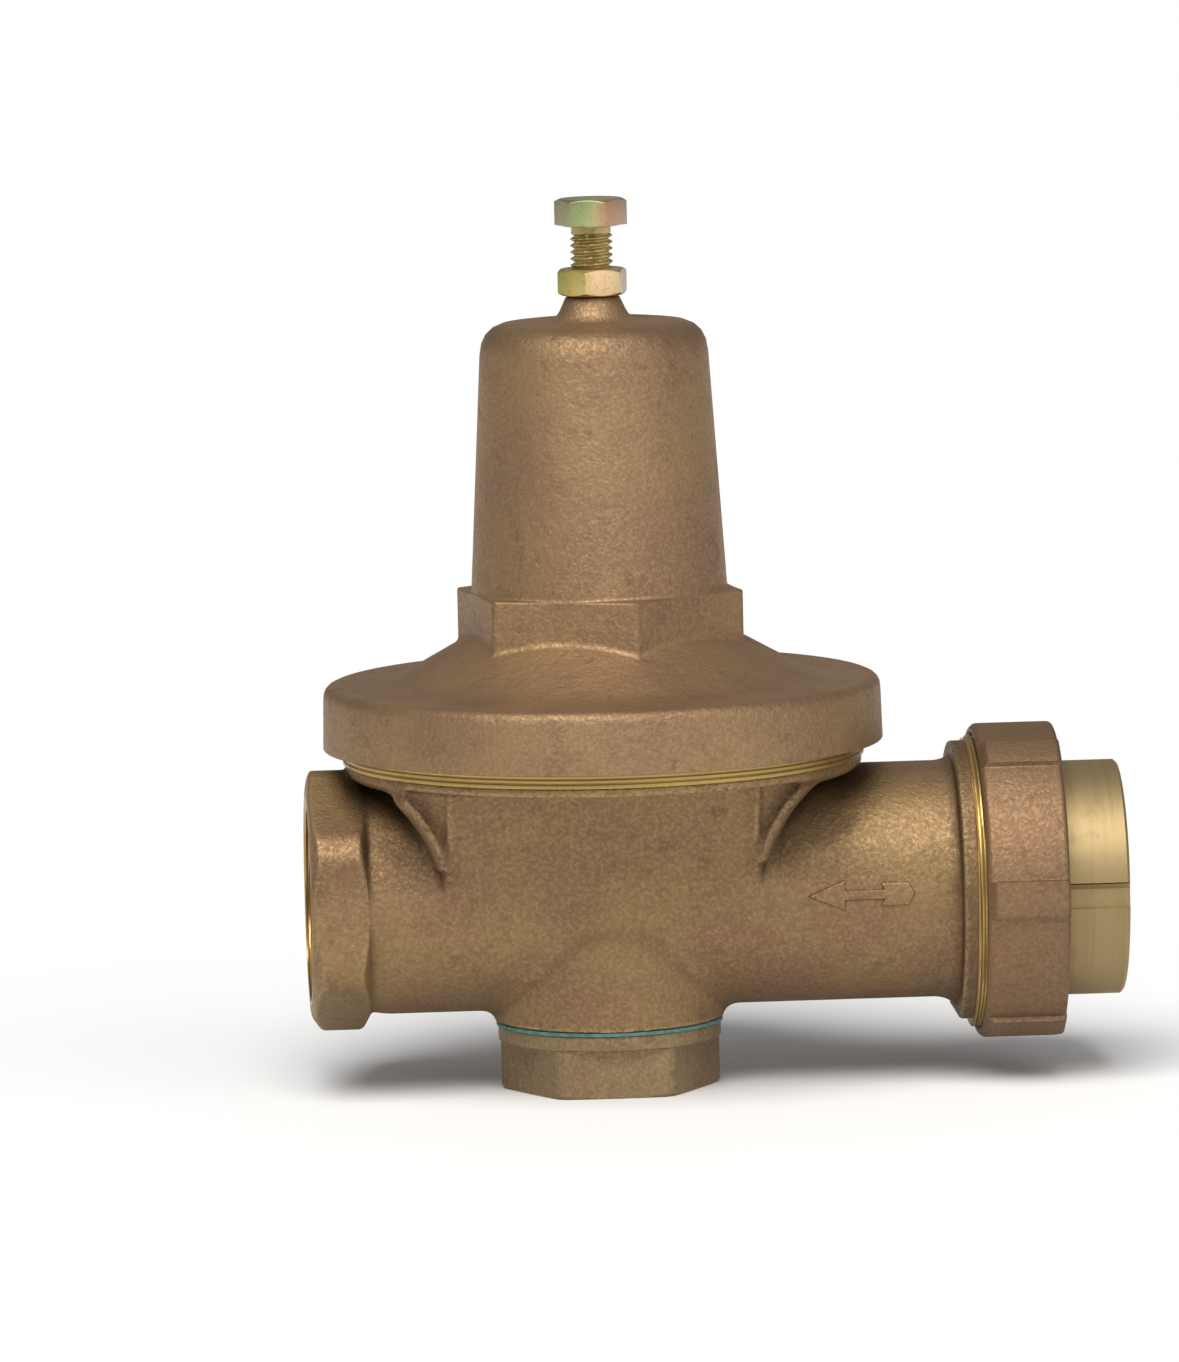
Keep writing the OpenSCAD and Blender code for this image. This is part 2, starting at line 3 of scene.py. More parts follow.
import bpy
import numpy as np
from mathutils import Matrix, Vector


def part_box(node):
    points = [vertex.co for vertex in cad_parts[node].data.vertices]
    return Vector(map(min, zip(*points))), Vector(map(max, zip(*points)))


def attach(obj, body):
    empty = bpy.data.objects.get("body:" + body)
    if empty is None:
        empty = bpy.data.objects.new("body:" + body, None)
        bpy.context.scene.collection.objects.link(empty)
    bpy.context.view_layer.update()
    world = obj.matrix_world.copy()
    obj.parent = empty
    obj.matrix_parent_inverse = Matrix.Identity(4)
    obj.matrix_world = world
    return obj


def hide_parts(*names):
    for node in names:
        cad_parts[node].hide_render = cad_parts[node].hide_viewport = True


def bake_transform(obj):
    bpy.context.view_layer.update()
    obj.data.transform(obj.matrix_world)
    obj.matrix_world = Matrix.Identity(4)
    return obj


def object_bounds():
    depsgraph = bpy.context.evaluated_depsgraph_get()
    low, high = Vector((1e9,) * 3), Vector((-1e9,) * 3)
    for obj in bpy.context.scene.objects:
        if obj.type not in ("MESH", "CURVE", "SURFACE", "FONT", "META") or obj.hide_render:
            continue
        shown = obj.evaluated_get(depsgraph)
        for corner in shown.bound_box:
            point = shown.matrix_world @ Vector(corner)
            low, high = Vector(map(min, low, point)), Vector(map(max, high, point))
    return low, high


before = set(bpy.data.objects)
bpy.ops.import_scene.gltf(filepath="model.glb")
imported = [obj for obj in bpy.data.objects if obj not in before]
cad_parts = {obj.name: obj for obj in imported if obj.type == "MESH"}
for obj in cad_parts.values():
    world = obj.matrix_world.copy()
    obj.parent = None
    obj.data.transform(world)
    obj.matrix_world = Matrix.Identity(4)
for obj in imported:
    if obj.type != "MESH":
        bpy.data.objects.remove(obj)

cad_low, cad_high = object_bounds()

# Stand: camera, pale floor and soft light ------------------------------------------------------
# The valve stands on the flat foot of its strainer plug. The camera looks down a little from the
# front, a long way off, and two broad soft lights stand in front of the valve.
MM = 0.001   # one millimetre in metres; shapes are worked out in millimetres from the valve axis
valve_x = (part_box("lock_nut")[0][0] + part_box("lock_nut")[1][0]) / 2
foot_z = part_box("bottom_plug")[0][2]


def turn(axis, degrees):
    """The 3 by 3 matrix that turns a point about one axis, 0, 1 or 2, by the right-hand rule."""
    c, s = math.cos(math.radians(degrees)), math.sin(math.radians(degrees))
    m = np.eye(3)
    a, b = [(1, 2), (2, 0), (0, 1)][axis]
    m[a, a], m[a, b], m[b, a], m[b, b] = c, -s, s, c
    return m


roll, dip_down, swing = -1.359, 6.697, 3.239   # degrees; the place below is in metres
look = turn(1, roll) @ turn(0, dip_down) @ turn(2, swing)
eye = np.array([-0.0051, -3.2767, 0.0632]) @ look + np.array([valve_x, 0, 0])
camera = bpy.data.objects.new("camera", bpy.data.cameras.new("camera"))
bpy.context.scene.collection.objects.link(camera)
camera.data.sensor_width, camera.data.lens = 36.0, 288.7
camera.data.clip_start, camera.data.clip_end = 0.1, 200.0
placing = np.eye(4)
placing[:3, 0], placing[:3, 1], placing[:3, 2], placing[:3, 3] = look[0], look[2], -look[1], eye
camera.matrix_world = Matrix(placing.tolist())
bpy.context.scene.camera = camera


def soft_sun(name, strength, spread, azimuth, height, colour):
    """A distant light as wide as spread degrees; azimuth 0 is straight in front, height is above level."""
    lamp = bpy.data.lights.new(name, "SUN")
    lamp.energy, lamp.angle, lamp.color = strength, math.radians(spread), colour
    obj = bpy.data.objects.new(name, lamp)
    bpy.context.scene.collection.objects.link(obj)
    obj.rotation_euler = (math.radians(90 - height), 0, math.radians(azimuth))


soft_sun("main_light", 3.4, 44, -16, 54, (1.0, 0.99, 0.97))
soft_sun("side_light", 0.8, 60, 40, 25, (0.97, 0.98, 1.0))
world = bpy.data.worlds.new("studio")
bpy.context.scene.world = world
world.use_nodes = True
world.node_tree.nodes["Background"].inputs["Color"].default_value = (0.97, 0.98, 1.0, 1)
world.node_tree.nodes["Background"].inputs["Strength"].default_value = 0.26
bpy.context.scene.view_settings.view_transform = "Standard"

floor_mesh = bpy.data.meshes.new("floor")
reach = 60.0   # metres from the middle to its edges, far behind the valve
floor_mesh.from_pydata([(-reach, -reach, foot_z), (reach, -reach, foot_z), (reach, reach, foot_z),
                        (-reach, reach, foot_z)], [], [(0, 1, 2, 3)])
floor = bpy.data.objects.new("floor", floor_mesh)
bpy.context.scene.collection.objects.link(floor)
floor_paint = bpy.data.materials.new("pale_floor")
floor_paint.use_nodes = True
floor_bsdf = floor_paint.node_tree.nodes["Principled BSDF"]
floor_bsdf.inputs["Base Color"].default_value = (0.85, 0.85, 0.85, 1)
floor_bsdf.inputs["Roughness"].default_value = 0.8
floor_bsdf.inputs["Specular IOR Level"].default_value = 0.1
floor_mesh.materials.append(floor_paint)

# Valve body -------------------------------------------------------------------------------------
# One sand casting in bronze: the pipe run, the outlet hexagon, the cheeks that carry the bonnet
# flange, and the strainer boss below. Its skin keeps the grain of the sand it was poured in.


class Shade:
    """A socket of a node tree that can be used in sums; each operator adds one Math node."""

    def __init__(self, tree, socket=None):
        self.tree, self.socket = tree, socket

    def node(self, kind, settings=None, out=0, **values):
        """Adds any node: its settings first, then the values or links of its sockets by name or number."""
        made = self.tree.nodes.new(kind)
        for key, value in (settings or {}).items():
            if key == "stops":
                ramp = made.color_ramp
                while len(ramp.elements) < len(value):
                    ramp.elements.new(0.5)
                for element, (at, colour) in zip(ramp.elements, value):
                    element.position, element.color = at, (*colour, 1) if len(colour) == 3 else colour
            else:
                setattr(made, key, value)
        for key, value in values.items():
            name = key.replace("_", " ")
            target = made.inputs[int(key[1:])] if key[0] == "n" and key[1:].isdigit() else made.inputs[name]
            if isinstance(value, Shade):
                self.tree.links.new(value.socket, target)
            elif isinstance(value, tuple) and len(value) == 3 and target.type == "RGBA":
                target.default_value = (*value, 1)
            else:
                target.default_value = value
        return Shade(self.tree, made.outputs[out])

    def _sum(self, operation, a, b):
        return self.node("ShaderNodeMath", {"operation": operation}, n0=a, n1=b)

    def __add__(self, other):
        return self._sum("ADD", self, other)

    __radd__ = __add__

    def __mul__(self, other):
        return self._sum("MULTIPLY", self, other)

    __rmul__ = __mul__

    def __sub__(self, other):
        return self._sum("SUBTRACT", self, other)

    def __rsub__(self, other):
        return self._sum("SUBTRACT", other, self)

    def between(self, low, high):
        """0 below low, 1 above high, and a smooth step from one to the other."""
        return self.node("ShaderNodeMapRange", {"interpolation_type": "SMOOTHSTEP"}, n0=self, n1=low, n2=high)

    def colours(self, off, on):
        """The colour off where this is 0 and on where it is 1."""
        return self.node("ShaderNodeMix", {"data_type": "RGBA"}, out=2, n0=self, n6=off, n7=on)


def linear(red, green, blue):
    """The scene-linear colour of a screen colour given from 0 to 255: the power 2.2 of each share."""
    return tuple((v / 255) ** 2.2 for v in (red, green, blue))


def new_finish(name):
    """An empty material: its tree as a Shade, its Principled shader node, and Object coordinates."""
    made = bpy.data.materials.new(name)
    made.use_nodes = True
    tree = Shade(made.node_tree)
    place = tree.node("ShaderNodeTexCoord", out=3)
    return made, tree, made.node_tree.nodes["Principled BSDF"], place


def grain(tree, place, size, detail=3.0, roughness=0.55):
    """Fractal noise whose largest spots are about size metres across, from 0 to 1 around 0.5."""
    return tree.node("ShaderNodeTexNoise", Vector=place, Scale=1 / size, Detail=detail, Roughness=roughness)


def connect(tree, bsdf, **values):
    """Feeds the named sockets of the Principled shader with links or plain values."""
    for key, value in values.items():
        target = bsdf.inputs[key.replace("_", " ")]
        if isinstance(value, Shade):
            tree.tree.links.new(value.socket, target)
        else:
            target.default_value = (*value, 1) if isinstance(value, tuple) else value


def cast_metal(name, deep, plain, warm, bright, lumps=1.0):
    """Sand-cast bronze: plain and warm blotches, dark pits, painted shade in creases, on faces that look down
    and in occluded places, a painted highlight on convex edges, and a bump that is fine sand grain over wider
    lumps."""
    made, tree, bsdf, place = new_finish(name)
    blotch = grain(tree, place, 0.030, 4).between(0.36, 0.66)
    stain = grain(tree, place, 0.011, 5, 0.65).between(0.55, 0.74)
    sand = grain(tree, place, 0.0012, 4, 0.7)
    pit = grain(tree, place, 0.0031, 2).between(0.60, 0.72)
    edge = tree.node("ShaderNodeNewGeometry", out=7)
    # Painted highlight: convex edges, found by high pointiness and broken by the sand grain, get the bright
    # colour; they are also a little smoother.
    edge_highlight = edge.between(0.508, 0.57) * sand.between(0.34, 0.54)
    # Painted shade: concave creases, found by low pointiness, get the deep colour.
    hollow_shade = 1 - edge.between(0.42, 0.49)
    # Painted shade: faces whose normal looks down get the deep colour.
    facing = tree.node("ShaderNodeSeparateXYZ", out=2, Vector=tree.node("ShaderNodeTexCoord", out=1))
    underside_shade = 1 - facing.between(-1.0, -0.30)
    # Painted shade: a point attribute on the body, high where other metal stands close outside the skin, gets
    # the deep colour.
    recess = tree.node("ShaderNodeAttribute", {"attribute_name": "tarnish"}, out=2)
    colour = blotch.colours(plain, warm)
    colour = (stain * 0.28).colours(colour, deep)
    colour = (sand.between(0.42, 0.66) * 0.34).colours(colour, bright)
    colour = (pit * 0.16).colours(colour, deep)
    # The next four mixes paint light and shade: shade in creases, on faces that look down and in occluded
    # places, and a highlight along convex edges.
    colour = (hollow_shade * 0.60).colours(colour, deep)
    colour = (underside_shade * 0.30).colours(colour, deep)
    colour = (recess.between(0.16, 0.75) * 0.60).colours(colour, deep)
    colour = (edge_highlight * 0.75).colours(colour, bright)
    height = sand * 0.60 + grain(tree, place, 0.0042, 3) * (0.7 * lumps) - pit * 0.15
    bump = tree.node("ShaderNodeBump", Strength=0.75, Distance=0.0006, Height=height)
    rough = 0.60 - 0.14 * sand.between(0.4, 0.65) + 0.10 * stain - 0.10 * edge_highlight
    connect(tree, bsdf, Base_Color=colour, Roughness=rough, Metallic=0.82, Normal=bump)
    return made


cast_bronze = cast_metal("cast_bronze", linear(58, 44, 32), linear(140, 114, 80), linear(132, 103, 78),
                         linear(176, 150, 108))


def turned_metal(name, plain, shade, rough=0.3, around=0, mark=0.0009):
    """Turned brass: fine tool rings across the axis (around is 0 for X and 2 for Z), faint stains, and
    short scratches. The rings are noise stretched flat along the two other axes."""
    made, tree, bsdf, place = new_finish(name)
    thin = [0.0, 0.0, 0.0]
    thin[around] = 1.0
    flat = tree.node("ShaderNodeMapping", Vector=place, Scale=tuple(0.02 + 0.98 * v for v in thin))
    rings = grain(tree, flat, mark, 3, 0.6)
    stain = grain(tree, place, 0.012, 5, 0.6).between(0.5, 0.8)
    speck = grain(tree, place, 0.0012, 3, 0.6)
    colour = (stain * 0.4).colours(plain, shade)
    colour = (rings.between(0.45, 0.7) * 0.25).colours(colour, shade)
    bump = tree.node("ShaderNodeBump", Strength=0.35, Distance=0.00012, Height=rings + speck * 0.3)
    connect(tree, bsdf, Base_Color=colour, Roughness=rough + 0.14 * stain + 0.08 * speck, Metallic=0.9,
            Normal=bump)
    return made


turned_brass_z = turned_metal("turned_brass_ring", linear(184, 156, 98), linear(124, 98, 56), 0.34, 2)
turned_brass_x = turned_metal("turned_brass_run", linear(176, 148, 96), linear(120, 96, 58), 0.36, 0)


def piece(name, points, faces, material, smooth_below=40):
    """A mesh object from points in metres and faces, shaded smooth across edges gentler than the angle."""
    mesh = bpy.data.meshes.new(name)
    mesh.from_pydata(points.reshape(-1, 3).tolist(), [], faces.tolist())
    mesh.polygons.foreach_set("use_smooth", np.ones(len(mesh.polygons), dtype=bool))
    mesh.set_sharp_from_angle(angle=math.radians(smooth_below))
    mesh.materials.append(material)
    mesh.update()
    made = bpy.data.objects.new(name, mesh)
    bpy.context.scene.collection.objects.link(made)
    return made


def soft_max(a, b, width):
    """The larger of two distances, with the crease between them rounded over the width."""
    h = np.maximum(width - np.abs(a - b), 0) / width
    return np.maximum(a, b) + h * h * width / 4


def soft_min(a, b, width):
    """The smaller of two distances, with the crease between them filled over the width."""
    return -soft_max(-a, -b, width)


def all_of(width, *parts):
    """Rounded intersection of several distances."""
    total = parts[0]
    for part in parts[1:]:
        total = soft_max(total, part, width)
    return total


outlet_x = cad_low[0] / MM - valve_x / MM      # the outlet face, from the valve axis
boss_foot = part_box("plug_gasket")[1][2] / MM   # the boss's lower face
pipe_r = 35.5          # the pipe's outside
pipe_up = 1.0          # the outside's centre above the water way's
way_r = 28.4           # the water way
hub_half = 35.6        # half the outlet hexagon's width across flats
hub_corner = 39.1      # the hexagon's corners, turned off round
boss_r = 34.0          # the strainer boss at its foot
cheek_half = 46.6      # a cheek's half width at the pipe's middle
sweep = 49             # the radius of the sweep that flares the cheeks towards the flange
cheek_r = 76.4         # how far the cheeks reach from the valve axis
ridge_r = 76.8         # how far the ridges on their edges reach
lip_r = 77.1           # the lip under the flange
lip_top = 41.1


def casting(p):
    """Distance to the body casting in millimetres from the valve axis: pipe, hexagon, shoulder, boss,
    flange and cheeks joined with soft unions, less the water way. Negative inside the metal."""
    x, y, z = p[:, 0], p[:, 1], p[:, 2]
    run = np.hypot(y, z)
    core = np.hypot(y, z - pipe_up)
    up = np.hypot(x, y)
    out = outlet_x
    # Pipe run, a little waisted behind the outlet hexagon
    waist = 1.3 * np.clip(1 - (x - out - 16) / 9, 0, 1) ** 2
    pipe = all_of(0.6, core - pipe_r + waist, out + 8 - x, x - 104.5)
    # Outlet hexagon, chamfered at its face and less so at the top, with sloping backs to its corners
    hexagon = np.maximum(np.abs(y), np.abs(y) * 0.5 + np.abs(z) * math.sqrt(0.75)) - hub_half
    edge = 3.2 - 1.8 * np.clip(z / 30, 0, 1)
    chamfer = ((run - 39.2) * edge + (out + edge - x) * 4.5) / np.hypot(edge, 4.5)
    corner_back = (x - out - 16.6 + 0.55 * (run - 36.5)) / 1.14
    hub = all_of(0.9, hexagon, run - hub_corner, chamfer, corner_back, out - x)
    solid = soft_min(pipe, hub, 1.0)
    # Inlet: a cone widens the pipe to the shoulder, and the neck inside the union nut follows
    cone = ((run - 36.0) * 5 - (x - 103.3) * 6.6) / 8.28
    shoulder = all_of(1.1, cone, run - 42.6, x - 108.9)
    shoulder = soft_max(shoulder, 96 - x, 1.0)
    neck = all_of(0.9, run - 42.2, x - 123.7, 104 - x)
    solid = soft_min(solid, shoulder, 4.0)
    # Strainer boss, slightly wider where it leaves the pipe
    widening = 2 * np.clip((z - boss_foot) / 16, 0, 1) ** 2
    boss = all_of(0.9, up - boss_r - widening, boss_foot - z, z - 6)
    solid = soft_min(solid, boss, 5.5)
    # Cheeks: they flare outwards up to the flange; the front is flat in the middle and bevelled beside it
    side_x = np.abs(x + 3.1)
    rise = np.clip(z, 0, 42)
    level = np.sqrt(sweep ** 2 - rise ** 2)
    flare = (side_x - (cheek_half + sweep - level)) * level / sweep
    front = np.maximum(((np.abs(y) - 35.1) * 34.5 - (z - 2) * 14.9) / 37.58, np.abs(y) - 50)
    bevel = (side_x - 45.4) * 0.36 + front * 0.933
    face = soft_max(front, bevel, 0.9)
    cheek = all_of(1.6, flare, face, up - cheek_r)
    cheek = all_of(1.0, cheek, -6 - z, z - lip_top)
    # A raised round crease stands between front and bevel, and a stouter ridge along the cheek's edge
    crease = np.hypot(np.minimum(side_x - 45.3, 4), np.minimum(front + 0.45, 4)) - 1.0
    crease = all_of(0.9, crease, 10 - z, z - 39)
    ridge = np.hypot(np.minimum(flare + 1.2, 4), np.minimum(face, 4)) - 2.1
    ridge = all_of(1.2, ridge, 13 - z, z - 39.5, up - ridge_r)
    cheek = soft_min(soft_min(cheek, ridge, 1.3), crease, 1.4)
    solid = soft_min(solid, cheek, 3.0)
    # Lip under the flange, a round bead under it on both sides, and the crown that the bonnet screws on
    lip = all_of(1.0, up - lip_r, 38.2 - z, z - lip_top)
    beside = np.clip((side_x - 50) / 10, 0, 1)
    bead = all_of(0.9, np.hypot(up - 73.9, z - 39.6) - 3.1 * beside, z - lip_top)
    flange = soft_min(lip, bead, 1.0)
    solid = soft_min(solid, flange, 1.2)
    crown = all_of(0.3, up - 74.4, z - 52.4, 40 - z)
    solid = soft_min(soft_min(solid, crown, 0.2), neck, 0.2)
    # Water way: the outlet side joins the upper chamber, the inlet side joins the lower one
    bore = run - way_r
    ways = np.minimum(np.maximum(bore, x + 32), np.maximum(bore, 32 - x))
    ways = np.minimum(ways, np.maximum(np.maximum(bore, 3.5 - z), x))
    ways = np.minimum(ways, np.maximum(np.maximum(bore, z + 3.5), -x))
    ways = np.minimum(ways, np.maximum(run - 31.0, x - out - 24.4))
    ways = np.minimum(ways, all_of(0.5, up - 26, 3.5 - z, z - 60))
    ways = np.minimum(ways, all_of(0.5, up - 60, 44.2 - z))
    ways = np.minimum(ways, all_of(0.5, up - 27, z + 3.5, -30 - z))
    ways = np.minimum(ways, np.maximum(up - 29, z + 25))
    ways = np.minimum(ways, np.maximum(up - 20.5, np.abs(z) - 5))
    return soft_max(solid, -ways, 0.7)


def skin(field, low, high, cell):
    """Surface net of a distance field: a corner in each crossed cell at the mean of its edge crossings, a
    quad round each crossed edge, and three steps of p - f g / |g|^2 that settle the corners on f = 0.
    Recess is the share of 3 and 8 mm outwards that other metal stands in the way, 1 - f(p + r n) / r."""
    block = 4   # cells along a block; only blocks near the surface are worked out cell by cell
    counts = [int(math.ceil((b - a) / cell / block)) * block for a, b in zip(low, high)]
    coarse = [np.asarray(a + cell * (block * np.arange(n // block) + 1.5)) for a, n in zip(low, counts)]
    wide = np.stack(np.meshgrid(*coarse, indexing="ij"), -1).reshape(-1, 3)
    values = field(wide).reshape([n // block for n in counts])
    for axis in range(3):
        values = np.repeat(values, block, axis)
    near = np.abs(values) < 1.3 * block * cell
    cells = np.argwhere(near)
    values[near] = field(cells * cell + np.asarray(low))
    inside = values < 0
    shape = np.array(values.shape)
    stride = np.array([shape[1] * shape[2], shape[2], 1])
    total, hits, quads = np.zeros((3, values.size)), np.zeros(values.size), []
    for axis in range(3):
        b, c = (axis + 1) % 3, (axis + 2) % 3
        first = np.moveaxis(inside, axis, 0)
        edges = np.argwhere(np.moveaxis(first[:-1] != first[1:], 0, axis))
        edges = edges[(edges[:, b] > 0) & (edges[:, c] > 0)]
        flat = edges @ stride
        start, end = values.ravel()[flat], values.ravel()[flat + stride[axis]]
        point = edges.astype(float)
        point[:, axis] += start / (start - end)
        around = np.stack([flat - stride[b] - stride[c], flat - stride[c], flat, flat - stride[b]], 1)
        for corner in range(4):
            hits += np.bincount(around[:, corner], minlength=values.size)
            for k in range(3):
                total[k] += np.bincount(around[:, corner], point[:, k], values.size)
        quads.append(np.where((start < 0)[:, None], around, around[:, ::-1]))
    used, faces = np.unique(np.concatenate(quads), return_inverse=True)
    p = (total[:, used] / hits[used]).T * cell + np.asarray(low)
    step = 0.05
    for _ in range(3):
        here = field(p)
        slope = np.stack([field(p + step * np.eye(3)[k]) - here for k in range(3)], 1) / step
        move = here[:, None] * slope / np.maximum((slope ** 2).sum(1), 0.2)[:, None]
        p -= np.clip(move, -0.5 * cell, 0.5 * cell)
    out = slope / np.linalg.norm(slope, axis=1)[:, None]
    recess = sum(np.clip(1 - field(p + r * out) / r, 0, 1) for r in (3, 8)) / 2
    return p, faces.reshape(-1, 4), recess


net_points, net_faces, recess = skin(casting, (outlet_x - 2, -80, boss_foot - 2), (126, 80, 55), 1.0)
# Painted shade is also added at the root of the shoulder and in the valley between the pipe and the boss
px, py, pz = net_points.T
off_valley = np.abs(np.hypot(py, pz - pipe_up) - pipe_r - np.hypot(px, py) + 35) / 4.5
off_valley = off_valley + np.clip((pz + 8) / 6, 0, 1)
root_shade = 0.62 * np.clip(1 - np.abs(px - 105) / 5.5, 0, 1) ** 0.5
valley_shade = 0.42 * np.clip(1 - off_valley, 0, 1)
recess = np.maximum(recess, np.maximum(root_shade, valley_shade))
body_casting = piece("body_casting", (net_points + [valve_x / MM, 0, 0]) * MM, net_faces, cast_bronze, 60)
# The attribute holds painted shade: the skin's occlusion, with the shoulder's root and the pipe-to-boss
# valley darkened as well.
body_casting.data.attributes.new("tarnish", "FLOAT", "POINT").data.foreach_set("value", recess)
quads_kept = 95000   # 190,000 triangles
thin = body_casting.modifiers.new("thin", "DECIMATE")
thin.ratio = min(1.0, quads_kept / len(net_faces))
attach(body_casting, "root")
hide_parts("body")


def rounded(corners, cuts, steps=4):
    """A run of corners, the last axis holding two numbers, with each corner replaced by a short curve:
    the quadratic through the corner's two cut points that leans on the corner itself."""
    corners = np.asarray(corners, float)
    before = np.roll(corners, 1, axis=-2) - corners
    after = np.roll(corners, -1, axis=-2) - corners
    cuts = np.broadcast_to(np.asarray(cuts, float), corners.shape[:-1])
    long_a, long_b = np.linalg.norm(before, axis=-1), np.linalg.norm(after, axis=-1)
    back = before * (np.minimum(cuts, 0.45 * long_a) / np.maximum(long_a, 1e-9))[..., None]
    on = after * (np.minimum(cuts, 0.45 * long_b) / np.maximum(long_b, 1e-9))[..., None]
    t = np.linspace(0, 1, steps)[:, None]
    curve = corners[..., None, :] + back[..., None, :] * (1 - t) ** 2 + on[..., None, :] * t ** 2
    return curve.reshape(*corners.shape[:-2], -1, 2)


def outline_turn(outline):
    """Twice the signed area inside an outline: below zero where it runs clockwise, radius to the right."""
    r, h = outline[:, 0], outline[:, 1]
    return float((r * np.roll(h, -1) - np.roll(r, -1) * h).sum())


def spun(name, angles, outline, material, along="z", smooth_below=40, poles=False):
    """A surface of one angle and one outline: outline[angle, step] holds radius and height in millimetres,
    and a point is the radius times the angle's cosine and sine beside the height on the valve axis, or on
    the pipe axis where the angle starts at the front. The outline closes on itself, or at poles."""
    outline = np.broadcast_to(outline, (len(angles), *np.shape(outline)[-2:]))
    radius, height = outline[..., 0], outline[..., 1]
    c, s = np.cos(angles)[:, None], np.sin(angles)[:, None]
    if along == "z":
        points = np.stack([radius * c + valve_x / MM, radius * s, height], -1)
    else:
        points = np.stack([height + valve_x / MM, -radius * c, -radius * s], -1)
    na, ns = radius.shape
    index = np.arange(na * ns).reshape(na, ns)
    if poles:
        index[:, 0], index[:, -1] = index[0, 0], index[0, -1]
    turned = np.roll(index, -1, 0)
    on, turned_on = np.roll(index, -1, 1), np.roll(turned, -1, 1)
    quads = np.stack([index, turned, turned_on, on], -1)
    if poles:
        quads = quads[:, :-1]
    quads = quads.reshape(-1, 4)
    if outline_turn(outline[0]) > 0:
        quads = quads[:, ::-1]
    tris = np.concatenate([quads[:, [0, 1, 2]], quads[:, [0, 2, 3]]])
    tris = tris[(tris[:, 0] != tris[:, 1]) & (tris[:, 1] != tris[:, 2]) & (tris[:, 0] != tris[:, 2])]
    kept, faces = np.unique(tris, return_inverse=True)
    return piece(name, points.reshape(-1, 3)[kept] * MM, faces.reshape(-1, 3), material, smooth_below)


def spread(count, start=0.0):
    """Evenly spread angles round a full turn."""
    return start + np.arange(count) * 2 * math.pi / count


def six_flats(angles, across, first_corner, width):
    """Radius of a hexagon's side at each angle: half the width across flats over the cosine from the
    nearest flat, with the corners rounded over the width."""
    flats = first_corner + math.pi / 6 + np.arange(3) * math.pi / 3
    toward = np.abs(np.cos(angles[:, None] - flats))
    lead = soft_max(soft_max(toward[:, 0], toward[:, 1], width), toward[:, 2], width)
    return across / 2 / lead


def tooth(turns, flat=0.25):
    """A thread's outline against turns: 0 along the crest, 1 at the root, with straight flanks."""
    t = np.abs((turns + 0.5) % 1 * 2 - 1)
    return np.clip((t - flat) / (1 - 2 * flat), 0, 1)


def threaded_tube(name, crest, depth, pitch, start, end, wall, material, along, count=96, per_turn=10,
                  taper=0.0):
    """A tube whose face carries a screw thread: radius = crest minus depth times the tooth of height over
    pitch less angle over a turn, chamfered at both ends; the outline closes through the wall radius."""
    angles = spread(count)
    steps = int((end - start) / pitch * per_turn)
    height = np.linspace(start, end, steps)
    share = angles[:, None] / (2 * math.pi)
    radius = crest + taper * (height - start) - depth * tooth(height[None] / pitch - share)
    chamfer = 0.7
    from_end = np.minimum(height - start, end - height)
    radius = radius - np.sign(depth) * np.clip(chamfer - from_end, 0, chamfer)
    face = np.stack([radius, np.broadcast_to(height, radius.shape)], -1)
    back = np.broadcast_to(np.array([[wall, end], [wall, start]]), (count, 2, 2))
    return spun(name, angles, np.concatenate([face, back], 1), material, along, 30)


# The band and the two threads on the body are cut in a lathe after casting, so they are bright brass
band_low, band_high, collar_head = 41.0, 44.9, 52.5
band_r, collar_r, band_in = 78, 75, 72
pipe_pitch = 2.209   # eleven and a half threads an inch
band = rounded([[band_in, band_low], [band_r, band_low], [band_r, 42.1], [77.6, 42.3], [77.6, 42.5],
                [band_r, 42.7], [band_r, 43.6], [77.7, 43.75], [77.7, 43.9], [band_r, 44.05],
                [band_r, band_high], [collar_r, band_high + 0.5], [collar_r, collar_head],
                [band_in, collar_head]], 0.15)
body_band = spun("body_machined_band", spread(256), band, turned_brass_z)
union_end = (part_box("union_gasket")[0][0] - valve_x) / MM
body_union_thread = threaded_tube("body_union_thread", 43.95, 0.95, pipe_pitch, union_end - 15.9, union_end,
                                  41.5, turned_brass_x, "x", 144)
outlet_thread = threaded_tube("outlet_pipe_thread", 29.0, -1.1, pipe_pitch, outlet_x, outlet_x + 24.2, 31.6,
                              turned_brass_x, "x", 96, 8, -0.01)
for part in (body_band, body_union_thread, outlet_thread):
    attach(part, "root")
    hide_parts("body")

# Flow arrow -------------------------------------------------------------------------------------
# A plain arrow cast proud of the pipe beside the inlet, which shows that water runs to the outlet.
tip_x, head_back, tail_x = 58, 69, 88   # along the pipe from the valve axis
arrow_height = 1.2
sunk = 0.35                             # how deep the patch round the arrow lies under the pipe's skin
patch_r = 34.4                          # the underside, inside the wall
lean = math.radians(2.5)
ax, av = np.meshgrid(np.linspace(56, 92, 181), np.linspace(-7, 7, 71), indexing="ij")
head_half = np.clip((ax - tip_x) * 0.42, -3, 4.6)
head = np.maximum(np.abs(av) - head_half, ax - head_back)
shaft = np.maximum(np.abs(av) - 1.5, np.maximum(66 - ax, ax - tail_x))
flight = np.maximum(np.abs(av) - 3.4, np.abs(ax - 85.5 + 0.5 * np.abs(av)) - 4.2)
shaft = np.minimum(shaft, flight)
proud = np.clip(0.5 - np.minimum(head, shaft) / 0.7, 0, 1)
proud = proud * proud * (3 - 2 * proud) * arrow_height - sunk
arrow_top = pipe_r + proud
arrow_angle = (av - 1.0) / pipe_r + lean
